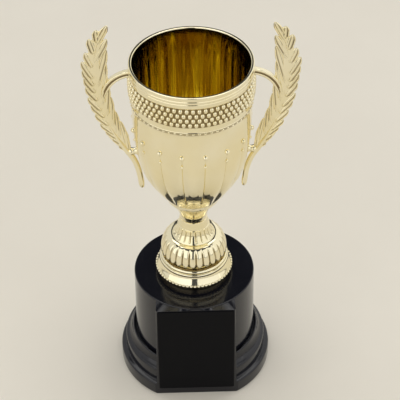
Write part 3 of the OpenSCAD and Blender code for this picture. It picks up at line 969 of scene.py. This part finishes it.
@dataclass
class GoldStem:
    """Beaded stepped flange, gadrooned and fluted dome with its neck band, and the collar's cone."""

    finishes: Finishes
    trees: Trees
    stack: Stack
    edge_beads: int = 62
    edge_ring: float = 19.2
    edge_bead: float = 0.9
    edge_height: float = 4.0
    gadroons: int = 28
    flutes: int = 20
    flange_columns: int = 256
    collar_columns: int = 192
    crease: float = 42.0

    def flange(self) -> bpy.types.Object:
        """The flange, with a ring of beads around its edge."""
        foot = self.stack.base_top
        outer = filleted([(15.4, 0, 0), (17.5, 0, 0.3), (17.7, 2.9, 0.3), (19.0, 3.2, 0.3), (19.35, 4.2, 0.3),
                          (19.3, 4.7, 0.2)], 4)
        outer += bezier([(19.2, 4.8), (18.7, 5.9), (17.7, 7.0), (17.3, 8.6)], 12)
        outer += filleted([(17.3, 8.7, 0), (17.75, 8.85, 0.3), (17.85, 10.1, 0.6), (17.3, 10.5, 0.2),
                           (16.9, 10.6, 0.1), (17.3, 10.75, 0.2), (17.45, 11.8, 0.5), (16.9, 12.5, 0.4),
                           (16.2, 12.55, 0.2), (14.2, 12.55, 0)], 4)
        inner = [(3.3, 12.55), (3.3, 11.0), (14.8, 11.0), (15.0, 0.4)]
        rows = rows_of(dense(outer, 1.5), foot) + rows_of(inner, foot, skin=False)
        # Painted shade on the undercut below the edge beads.
        for row in rows:
            row.shade = 0.8 if row.z < foot + 3.1 else 0.0
        shell = turned_wall("stem_flange_gold", rows, even_columns(self.flange_columns),
                            [self.finishes.gold])
        crisp(shell, self.crease)
        bead = self.edge_bead * MM
        beads = grow(seed_piece("edge_beads"), self.trees.beads, Count=self.edge_beads, Rows=1, Phase=0.5,
                     Ring_radius=self.edge_ring * MM, Bulge=0.0, Lowest_row=(foot + self.edge_height) * MM,
                     Row_pitch=0.0, Bead_width=bead, Bead_height=bead, Bead_depth=bead, Lean=0.0,
                     Segments=10, Bead_rings=8, Finish=self.finishes.gold)
        return joined([shell, beads], "stem_flange_gold")

    def dome(self) -> bpy.types.Object:
        """The dome: gadroons below, flutes above, and the plain band of the neck."""
        foot = self.stack.flange_top
        lobes = bezier([(17.0, 2.3), (17.1, 7.6), (14.9, 11.7), (11.4, 12.3)], 34)
        outer = dense([(13.0, 0.05), (15.2, 0.05), (15.3, 1.0), (16.2, 1.15), (16.75, 1.5)], 0.5) + lobes
        outer += [(11.0, 12.25), (10.75, 12.35)]
        outer += bezier([(10.7, 12.6), (9.9, 13.6), (8.3, 15.9), (8.0, 18.4)], 18)
        outer += filleted([(8.0, 18.55, 0), (8.2, 18.7, 0.1), (8.15, 19.05, 0.1), (7.75, 19.2, 0.2),
                           (7.35, 21.0, 1.0), (7.05, 23.65, 0.15), (6.5, 23.8, 0)], 4)
        inner = [(3.3, 23.8), (3.3, 21.5), (6.0, 17.0), (8.5, 11.0), (13.4, 6.5), (13.6, 0.4), (13.0, 0.4)]
        rows = rows_of(outer, foot) + rows_of(inner, foot, skin=False)
        piece = turned_wall("stem_dome_gold", rows, even_columns(self.gadroons * self.flutes),
                            [self.finishes.gold])
        # Shade paints shade into the gadroon and flute grooves as they are cut.
        grow(piece, self.trees.relief, Count=float(self.gadroons), Phase=0.78, Depth=1.1 * MM, Power=4.6,
             Step=0.9 * MM, Low=(foot + 1.7) * MM, High=(foot + 12.0) * MM, Low_fade=0.5 * MM,
             High_fade=3.4 * MM, Arch=1.7 * MM, Shade=1.0, Finish=self.finishes.gold)
        grow(piece, self.trees.relief, Count=float(self.flutes), Phase=0.667, Depth=0.7 * MM, Power=6.0,
             Step=0.0, Low=(foot + 12.6) * MM, High=(foot + 18.5) * MM, Low_fade=0.5 * MM,
             High_fade=0.7 * MM, Arch=0.5 * MM, Shade=1.1, Finish=self.finishes.gold)
        return piece

    def collar(self) -> bpy.types.Object:
        """The collar's cone, which flares from the neck to a narrow band under the bowl."""
        foot = self.stack.dome_top
        outer = [(3.3, 0.0), (6.82, 0.0), (6.86, 0.05), (6.87, 0.12), (6.89, 0.25), (7.09, 1.5), (7.36, 3.0)]
        outer += bezier([(7.42, 3.25), (8.0, 5.2), (10.2, 9.6), (13.15, 13.35)], 24)
        outer += filleted([(13.25, 13.4, 0), (13.45, 13.5, 0.1), (13.85, 15.3, 0.2), (13.75, 15.58, 0.1),
                           (12.8, 15.58, 0)], 3)
        rows = rows_of(dense(outer, 0.4), foot) + rows_of([(3.3, 15.58)], foot, skin=False)
        piece = turned_wall("neck_collar_gold", rows, even_columns(self.collar_columns), [self.finishes.gold])
        crisp(piece, self.crease)
        return piece

    def build(self) -> list[bpy.types.Object]:
        """Builds and places the three mouldings."""
        made = (("stem_flange", self.flange()), ("stem_dome", self.dome()), ("neck_collar", self.collar()))
        return [settle(piece, node) for node, piece in made]


# ---------------------------------------------------------------- gold bowl


@dataclass
class GoldBowl:
    """Open cup with sixteen petals, studs between them, a hobnail band and a plain rim ring."""

    finishes: Finishes
    trees: Trees
    stack: Stack
    petals: int = 16
    stud_row: float = 43.8
    dot_row: float = 38.0
    hobnails: int = 64
    hobnail_rows: int = 4
    band: Point = (62.3, 73.2)
    band_shade: float = 1.0
    line: Point = (57.8, 59.2)
    line_shade: float = 0.7
    crease: float = 48.0

    def columns(self) -> np.ndarray:
        """Angles that crowd together beside each groove."""
        steps = np.array([0, 0.008, 0.018, 0.03, 0.045, 0.07, 0.11, 0.17, 0.25, 0.34, 0.43])
        cell = np.concatenate([steps, [0.5], 1 - steps[:0:-1]])
        pitch = math.tau / self.petals
        return np.concatenate([(cell + i + 0.5) * pitch for i in range(self.petals)])

    def outline(self) -> list[Row]:
        """The loop of rows: under the foot, up the outside, over the rim and down the lining."""
        foot = self.stack.collar_top
        body = bezier([(14.9, 0.9), (26.9, 16.6), (28.65, 25), (29.0, 57.2)], 110)
        keep = [p for i, p in enumerate(body) if p[1] < 20 or i % 2 == 0]
        outer = filleted([(3.3, 0.02, 0), (13.9, 0.02, 0.3), (14.15, 0.35, 0.3), (14.5, 0.75, 0)], 3) + keep
        outer += filleted([(29.0, 57.6, 0), (29.25, 57.9, 0.2), (29.3, 59.1, 0.2), (29.1, 59.4, 0.2),
                           (29.3, 61.7, 0.5), (29.5, 62.6, 0.4), (29.65, 66.0, 1.5), (29.6, 70.6, 1.5),
                           (29.35, 73.0, 0.3), (29.7, 73.5, 0.4), (29.8, 75.4, 0.3), (29.6, 75.75, 0.1),
                           (29.75, 76.0, 0.2), (29.75, 77.0, 0.2), (29.5, 77.25, 0.1), (29.7, 77.5, 0.2),
                           (29.62, 78.6, 0.4)], 3)
        rim = self.stack.rim - foot
        lip = filleted([(29.62, rim - 0.65, 0), (29.55, rim - 0.02, 0.8), (28.05, rim - 0.02, 0.8),
                        (27.95, rim - 1.1, 0)], 6)
        rows = rows_of(outer, foot) + rows_of(lip, foot, skin=False)
        # Painted shade between the hobnails of the band and along the dotted line.
        for row in rows:
            if self.band[0] < row.z - foot < self.band[1]:
                row.shade = self.band_shade
            elif self.line[0] < row.z - foot < self.line[1]:
                row.shade = self.line_shade
        rows[-1].slot = 1
        wall = bezier([(27.4, 57.0), (27.05, 26), (25.0, 18.6), (13.4, 3.9)], 32)
        inside = dense([(27.9, rim - 1.5), (27.7, 70.0), (27.45, 58.0)], 4.0) + wall
        inside += filleted([(11.6, 2.8, 0), (7.4, 2.7, 0.5), (7.0, 5.3, 0.3), (3.3, 5.35, 0)], 3)
        rows += rows_of(inside, foot, skin=False, slot=1)
        return rows

    def ripple(self, row: Row, angles: np.ndarray) -> np.ndarray:
        """Radius of a row: a true circle outside, and softly channelled on the lining."""
        lining = min(max((self.stack.rim - 4.0 - row.z) / 14.0, 0.0), 1.0) if row.slot and row.r > 12 else 0.0
        wave = 0.13 * np.cos(2 * self.petals * angles) + 0.07 * np.cos(3 * self.petals * angles)
        return row.r + lining * wave

    def studs(self, height: float, ring: float, size: Point, proud: float) -> bpy.types.Object:
        """One stud on each groove at a height."""
        foot = self.stack.collar_top
        return grow(seed_piece("studs"), self.trees.beads, Count=self.petals, Rows=1, Phase=0.5,
                    Ring_radius=ring * MM, Bulge=0.0, Lowest_row=(foot + height) * MM, Row_pitch=0.0,
                    Bead_width=size[0] * MM, Bead_height=size[1] * MM, Bead_depth=proud * MM, Lean=0.0,
                    Segments=14, Bead_rings=10, Finish=self.finishes.gold)

    def build(self) -> bpy.types.Object:
        """Builds and places the cup."""
        gold, foot = self.finishes.gold, self.stack.collar_top
        cup = turned_wall("gold_bowl", self.outline(), self.columns(), [gold, self.finishes.lining],
                          self.ripple)
        grow(cup, self.trees.relief, Count=float(self.petals), Phase=0.5, Depth=0.9 * MM, Power=2.0,
             Step=0.0, Low=(foot + 1.2) * MM, High=(foot + 46.0) * MM, Low_fade=9.0 * MM,
             High_fade=34.0 * MM, Arch=0.0, Shade=0.0, Finish=gold)
        # The fine grooves get painted shade; the wide lobes get none.
        grow(cup, self.trees.relief, Count=float(self.petals), Phase=0.5, Depth=0.42 * MM, Power=26.0,
             Step=0.0, Low=(foot + 1.2) * MM, High=(foot + 43.0) * MM, Low_fade=3.0 * MM,
             High_fade=3.0 * MM, Arch=0.0, Shade=0.55, Finish=gold)
        parts = [cup, self.studs(self.stud_row, 28.75, (1.3, 1.3), 1.35),
                 self.studs(self.dot_row, 28.3, (0.75, 0.75), 0.8)]
        parts.append(grow(seed_piece("hobnails"), self.trees.beads, Count=self.hobnails,
                          Rows=self.hobnail_rows, Phase=0.5, Ring_radius=29.45 * MM, Bulge=0.15 * MM,
                          Lowest_row=(foot + 63.9) * MM, Row_pitch=2.6 * MM, Bead_width=1.12 * MM,
                          Bead_height=1.35 * MM, Bead_depth=0.95 * MM, Lean=0.0, Segments=9, Bead_rings=7,
                          Finish=gold))
        parts.append(grow(seed_piece("dotted_line"), self.trees.beads, Count=self.hobnails, Rows=1, Phase=0.0,
                          Ring_radius=29.2 * MM, Bulge=0.0, Lowest_row=(foot + 58.5) * MM, Row_pitch=0.0,
                          Bead_width=0.75 * MM, Bead_height=0.5 * MM, Bead_depth=0.5 * MM, Lean=0.0,
                          Segments=8, Bead_rings=6, Finish=gold))
        piece = joined(parts, "gold_bowl")
        crisp(piece, self.crease)
        return settle(piece, "bowl")


# ---------------------------------------------------------------- laurel handles


@dataclass
class LaurelHandle:
    """Laurel spray on a stalk, held to the cup by a peg and by a channelled bar at the rim."""

    finishes: Finishes
    trees: Trees
    side: Side
    spray: tuple[Point, ...] = ((31.1, 137.7), (41.28, 152.09), (54.87, 189.85), (38.4, 212.2))
    stalk: tuple[Point, ...] = ((25.3, 115.6), (26.04, 122.59), (26.3, 130.59), (31.1, 137.7))
    outer_tips: tuple[Point, ...] = (
        (35.7, 142.5), (38.7, 147.0), (41.9, 151.9), (44.2, 155.9), (46.4, 161.6), (48.1, 167.1),
        (49.3, 171.7), (50.0, 177.7), (50.5, 182.7), (51.0, 187.5), (51.2, 192.5), (49.4, 197.5),
        (47.2, 205.1), (43.7, 209.8))
    inner_tips: tuple[Point, ...] = (
        (32.6, 152.0), (34.5, 157.3), (36.6, 163.0), (37.7, 165.2), (38.5, 171.8), (39.6, 179.5),
        (40.2, 186.6), (40.0, 191.7), (39.3, 199.2), (38.8, 204.7))
    outer_spread: Point = (22.0, 25.0)
    inner_spread: Point = (25.0, 22.0)
    leaf_width: float = 4.0
    leaf_depth: float = 1.9
    leaf_rings: int = 18
    roll: float = 15.0
    arc_centre: Point = (27.2, 170.6)
    arc_radius: float = 14.8
    arc_turn: Point = (83.5, 6.0)
    arc_points: int = 60
    # Half width of the arch's channel, in which shade is painted.
    channel: float = 0.46
    crease: float = 40.0

    def leaf(self) -> bpy.types.Object:
        """One leaf a unit long on +X: closed, blunt at its tip, with two grooves along it and shade painted
        into them.
        """
        # Section points: across, up, and the shade painted there, darkest in the two grooves.
        front = ((-1.0, 0.0, 0.0), (-0.92, 0.4, 0.0), (-0.78, 0.66, 0.0), (-0.66, 0.5, 0.45),
                 (-0.5, 0.1, 1.0), (-0.34, 0.5, 0.45), (-0.2, 0.78, 0.0), (0.02, 0.86, 0.0), (0.2, 0.8, 0.2),
                 (0.32, 0.5, 0.8), (0.44, 0.8, 0.2), (0.62, 0.9, 0.0), (0.86, 0.66, 0.0), (1.0, 0.0, 0.0))
        section = [*front, *((across, -up, share) for across, up, share in front[-2:0:-1])]
        around, rings = len(section), self.leaf_rings
        points, shades = [(0.0, 0.0, 0.0)], [0.0]
        for i in range(1, rings):
            t = 1 - (1 - i / rings) ** 1.25
            wide = 0.5 * min(1.0, (t / 0.22) ** 0.5) * min(1.0, ((1 - t) / 0.26) ** 0.55)
            deep = 0.5 * min(1.0, (t / 0.12) ** 0.5) * (1.0 - 0.35 * t) * min(1.0, ((1 - t) / 0.1) ** 0.5)
            for across, up, share in section:
                points.append((t, deep * up, wide * across))
                shades.append(share)
        points.append((1.0, 0.0, 0.0))
        shades.append(0.0)
        last = len(points) - 1
        faces: list[tuple[int, ...]] = []
        for k in range(around):
            on = (k + 1) % around
            faces.append((0, 1 + k, 1 + on))
            faces.append((last, last - around + on, last - around + k))
            for i in range(rings - 2):
                a, b = 1 + i * around, 1 + (i + 1) * around
                faces.append((a + k, b + k, b + on, a + on))
        piece = new_piece("leaf", np.array(points) / MM, faces, [self.finishes.gold])
        piece.data.attributes.new("recess", "FLOAT", "POINT").data.foreach_set("value", shades)
        outwards(piece)
        return piece

    def root(self, tip: Point, spread: float) -> tuple[float, float, float]:
        """Where a leaf leaves the spray to reach its tip at a spread.

        Args:
            tip: The leaf's tip, in millimetres.
            spread: Angle between the leaf and the spray, in degrees.

        Returns:
            The share of the way along the spray, the leaf's angle in radians and its length.
        """
        found = (0.0, 0.0, 1.0)
        for t in np.linspace(0.99, 0.0, 500):
            way = np.array(tip) - self.on_spray(float(t))
            reach = float(np.linalg.norm(way))
            ahead = float(np.dot(way / reach, heading(self.spray, float(t))))
            found = (float(t), math.atan2(way[1], way[0]), reach)
            if ahead >= math.cos(math.radians(spread)):
                break
        return found

    def on_spray(self, t: float) -> np.ndarray:
        """Point of the spray's middle line."""
        return along(self.spray, t)

    def leaves(self) -> bpy.types.Object:
        """Both rows of leaves and the one at the tip."""
        way = self.side.value
        points, aims, reaches, sides, breadths = [], [], [], [], []
        both = ((1, self.outer_tips, self.outer_spread), (-1, self.inner_tips, self.inner_spread))
        for row, tips, spread in both:
            for i, tip in enumerate(tips):
                t, aim, reach = self.root(tip, spread[0] + (spread[1] - spread[0]) * i / len(tips))
                at = self.on_spray(t)
                points.append((way * at[0], -0.12 * row, at[1]))
                aims.append(aim if way > 0 else math.pi - aim)
                reaches.append(reach * MM)
                sides.append(float(row * way))
                breadths.append(min(1.0, 0.72 + 0.04 * i))
        end = np.array(self.spray[3])
        start = self.on_spray(0.86)
        aim = math.atan2(end[1] - start[1], end[0] - start[0])
        points.append((way * start[0], 0.0, start[1]))
        aims.append(aim if way > 0 else math.pi - aim)
        reaches.append(float(np.linalg.norm(end - start)) * MM)
        sides.append(float(way))
        breadths.append(0.95)
        roots = new_piece("leaves", np.array(points), [], [])
        for label, values in (("aim", aims), ("reach", reaches), ("side", sides), ("breadth", breadths)):
            roots.data.attributes.new(label, "FLOAT", "POINT").data.foreach_set("value", values)
        leaf = self.leaf()
        grow(roots, self.trees.laurel, Leaf=leaf, Finish=self.finishes.gold, Leaf_width=self.leaf_width * MM,
             Leaf_depth=self.leaf_depth * MM, Roll=math.radians(self.roll))
        bpy.data.objects.remove(leaf)
        return roots

    def section(self, outline: Sequence[Point], channel: float) -> bpy.types.Object:
        """A closed section for the swept bars, with shade painted within its channel's half width."""
        mesh = bpy.data.meshes.new("section")
        n = len(outline)
        mesh.from_pydata([(deep * MM, across * MM, 0.0) for across, deep in outline],
                         [(i, (i + 1) % n) for i in range(n)], [])
        shades = [float(abs(across) < channel) for across, _ in outline]
        mesh.attributes.new("recess", "FLOAT", "POINT").data.foreach_set("value", shades)
        piece = bpy.data.objects.new("section", mesh)
        bpy.context.scene.collection.objects.link(piece)
        return piece

    def bar(self, name: str, path: Sequence[Point], girth: Sequence[float], outline: Sequence[Point],
            channel: float = 0.0) -> bpy.types.Object:
        """Sweeps a section along a path in the plane of the handles.

        Args:
            name: Name for the part.
            path: Distance from the axis and height of each point, in millimetres.
            girth: Scale of the section at each point.
            outline: The section's points.
            channel: Half the width of the channel along the bar, in which shade is painted, or none.

        Returns:
            The swept part.
        """
        mesh = bpy.data.meshes.new(name)
        way = self.side.value
        mesh.from_pydata([(way * x * MM, 0.0, z * MM) for x, z in path],
                         [(i, i + 1) for i in range(len(path) - 1)], [])
        mesh.attributes.new("girth", "FLOAT", "POINT").data.foreach_set("value", list(girth))
        piece = bpy.data.objects.new(name, mesh)
        bpy.context.scene.collection.objects.link(piece)
        section = self.section(outline, channel)
        grow(piece, self.trees.bar, Section=section, Finish=self.finishes.gold)
        bpy.data.objects.remove(section)
        outwards(piece)
        crisp(piece, self.crease)
        return piece

    def stem(self) -> bpy.types.Object:
        """The stalk with its free tail and the thin rib that runs up under the leaves."""
        tail = bezier(self.stalk, 26)
        rib = bezier(self.spray, 60)[1:-4]
        path = tail + rib
        n = len(tail)
        girth = [1.0] * n + [max(0.34, 1.0 - 0.9 * k / 24) for k in range(len(rib))]
        for k, share in enumerate((0.05, 0.55, 0.8, 0.94)):
            girth[k] = share * 1.06
        for k, share in enumerate((0.06, 0.2)):
            girth[-1 - k] = share
        path[1] = tuple(np.array(path[0]) + (np.array(path[1]) - np.array(path[0])) * 0.3)
        path[2] = tuple(np.array(path[0]) + (np.array(path[3]) - np.array(path[0])) * 0.4)
        round_bar = [(1.5 * math.cos(a), 1.6 * math.sin(a)) for a in np.linspace(0, math.tau, 25)[:-1]]
        return self.bar("stalk", path, girth, round_bar)

    def web(self) -> bpy.types.Object:
        """The thin flat web that joins the leaves behind their roots."""
        path = bezier(self.spray, 50)[2:-2]
        shares = np.linspace(0.0, 1.0, len(path))
        girth = [min(1.0, 0.35 + 4.0 * u, 0.25 + 3.0 * (1.0 - u)) for u in shares]
        plate = filleted([(0.0, 0.5, 0), (2.8, 0.45, 0.3), (3.4, 0.0, 0.2), (2.8, -0.45, 0.3), (0.0, -0.5, 0),
                          (-2.8, -0.45, 0.3), (-3.4, 0.0, 0.2), (-2.8, 0.45, 0.3)], 2)
        return self.bar("web", path, girth, plate)

    def arch(self) -> bpy.types.Object:
        """The channelled bar that curves from the rim ring into the spray."""
        (x, z), r = self.arc_centre, self.arc_radius
        angles = np.radians(np.linspace(*self.arc_turn, self.arc_points))
        path = [(x + r * math.cos(a), z + r * math.sin(a)) for a in angles]
        girth = [1.0 + 0.22 * max(0.0, 1 - k / 6) ** 2 - 0.5 * max(0.0, (k - 40) / 19) ** 2
                 for k in range(self.arc_points)]
        section = filleted([(0.0, 0.85, 0), (0.42, 0.9, 0.1), (0.5, 1.4, 0.2), (1.55, 1.4, 0.45),
                            (1.6, 0.0, 0), (1.55, -1.4, 0.45), (0.5, -1.4, 0.2), (0.42, -0.9, 0.1),
                            (0.0, -0.85, 0), (-0.42, -0.9, 0.1), (-0.5, -1.4, 0.2), (-1.55, -1.4, 0.45),
                            (-1.6, 0.0, 0), (-1.55, 1.4, 0.45), (-0.5, 1.4, 0.2), (-0.42, 0.9, 0.1)], 3)
        return self.bar("arch", path, girth, section, self.channel)

    def peg(self) -> bpy.types.Object:
        """The knuckle between the cup's wall and the stalk."""
        path = [(26.9 + 5.0 * k / 12, 138.9 - 0.5 * k / 12) for k in range(13)]
        girth = [1.25, 1.12, 1.0, 0.95, 0.95, 1.0, 1.08, 1.12, 1.12, 1.05, 0.9, 0.62, 0.1]
        ring = [(1.75 * math.cos(a), 1.75 * math.sin(a)) for a in np.linspace(0, math.tau, 21)[:-1]]
        return self.bar("peg", path, girth, ring)

    def build(self) -> bpy.types.Object:
        """Builds and places the handle."""
        side = self.side.name.lower()
        piece = joined([self.leaves(), self.web(), self.stem(), self.arch(), self.peg()], f"laurel_{side}")
        return settle(piece, f"handle_{side}")


# ---------------------------------------------------------------- hardware, room and camera


@dataclass
class Hardware:
    """Solids that keep their own meshes: the weight, the cover, the rod, its washers and nuts."""

    finishes: Finishes

    def dress(self) -> list[bpy.types.Object]:
        """Gives each solid its finish."""
        looks = {"base_weight": self.finishes.iron, "bottom_cover": self.finishes.board}
        dressed = []
        for node in ("base_weight", "bottom_cover", "centre_rod", "base_washer", "base_nut", "bowl_washer",
                     "bowl_nut"):
            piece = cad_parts[node]
            for slot in piece.material_slots:
                slot.material = looks.get(node, self.finishes.zinc)
            dressed.append(piece)
        return dressed


@dataclass(frozen=True)
class Softbox:
    """A rectangular light: its place, its width and height and its aim's height in metres, and its watts."""

    name: str
    place: tuple[float, float, float]
    size: Point
    power: float
    aim: float


@dataclass
class Room:
    """Pale table top and plain soft studio light around the cup."""

    finishes: Finishes
    half: float = 3.0
    drop: float = 0.02
    tint: Colour = (1.0, 0.99, 0.965)
    surround: Colour = (0.90, 0.93, 1.0)
    dimness: float = 0.07
    boxes: tuple[Softbox, ...] = (Softbox("left_box", (-0.87, -0.97, 1.05), (1.75, 2.0), 12.5, 1.05),
                                  Softbox("right_box", (0.87, -0.97, 1.05), (1.75, 2.0), 10.5, 1.05),
                                  Softbox("left_wing", (-1.13, 0.65, 0.9), (2.6, 1.7), 9.5, 0.9),
                                  Softbox("right_wing", (1.13, 0.65, 0.9), (2.6, 1.7), 12.5, 0.9),
                                  Softbox("top_box", (0.0, 0.45, 1.8), (2.0, 1.3), 15.0, 0.12))

    def table(self) -> None:
        """The table top."""
        h = self.half / MM
        corners = [(x, y, -self.drop) for x, y in ((-h, -h), (h, -h), (h, h), (-h, h))]
        piece = new_piece("table_top", np.array(corners), [(0, 1, 2, 3)], [self.finishes.top])

    def hang(self, box: Softbox) -> None:
        """Hangs a light so that it faces the cup's axis."""
        data = bpy.data.lights.new(box.name, "AREA")
        data.shape, data.size, data.size_y = "RECTANGLE", box.size[0], box.size[1]
        data.energy, data.color = box.power, self.tint
        light = bpy.data.objects.new(box.name, data)
        light.location = box.place
        ahead = Vector((0, 0, box.aim)) - Vector(box.place)
        light.rotation_euler = ahead.to_track_quat("-Z", "Y").to_euler()
        bpy.context.scene.collection.objects.link(light)

    def light(self) -> None:
        """Hangs the lights and sets the dim grey surroundings."""
        for box in self.boxes:
            self.hang(box)
        world = bpy.data.worlds.new("surroundings")
        world.use_nodes = True
        back = world.node_tree.nodes["Background"]
        back.inputs["Color"].default_value = (*self.surround, 1.0)
        back.inputs["Strength"].default_value = self.dimness
        bpy.context.scene.world = world
        view = bpy.context.scene.view_settings
        view.view_transform, view.look, view.exposure, view.gamma = "Standard", "None", 0.0, 1.0


@dataclass
class Viewpoint:
    """The camera: where it stands in millimetres, how it is turned in radians, and its lens."""

    place: tuple[float, float, float] = (-9.03, -563.4, 587.4)
    yaw: float = 0.0221
    pitch: float = 0.7069
    roll: float = -0.0100
    lens: float = 132.4
    sensor: float = 36.0
    clip: Point = (0.05, 20.0)

    def set_up(self) -> None:
        """Adds the camera to the scene and makes it the one in use."""
        data = bpy.data.cameras.new("camera")
        data.lens, data.sensor_width = self.lens, self.sensor
        data.clip_start, data.clip_end = self.clip
        camera = bpy.data.objects.new("camera", data)
        ahead = Vector((math.sin(self.yaw) * math.cos(self.pitch), math.cos(self.yaw) * math.cos(self.pitch),
                        -math.sin(self.pitch)))
        level = Vector((math.cos(self.yaw), -math.sin(self.yaw), 0.0))
        upright = level.cross(ahead)
        c, s = math.cos(self.roll), math.sin(self.roll)
        right, up = level * c + upright * s, upright * c - level * s
        turn = Matrix((right, up, -ahead)).transposed().to_4x4()
        camera.matrix_world = Matrix.Translation(Vector(self.place) * MM) @ turn
        bpy.context.scene.collection.objects.link(camera)
        bpy.context.scene.camera = camera


def report(pieces: Sequence[bpy.types.Object]) -> None:
    """Logs each piece's name and how many triangles it has."""
    for piece in pieces:
        piece.data.calc_loop_triangles()
        log.info("%s: %d triangles", piece.name, len(piece.data.loop_triangles))


def main() -> None:
    """Builds the cup, its base, the room and the camera."""
    logging.basicConfig(level=logging.INFO, format="%(message)s")
    finishes, trees, stack = Finishes.mixed(), Trees.grown(), Stack.measured()
    base = BlackBase(finishes, stack)
    report([base.build(), BlankPlate(finishes, base).build()])
    report(GoldStem(finishes, trees, stack).build())
    report([GoldBowl(finishes, trees, stack).build()])
    report([LaurelHandle(finishes, trees, side).build() for side in Side])
    report(Hardware(finishes).dress())
    room = Room(finishes)
    room.table()
    room.light()
    Viewpoint().set_up()


if __name__ == "__main__":
    main()
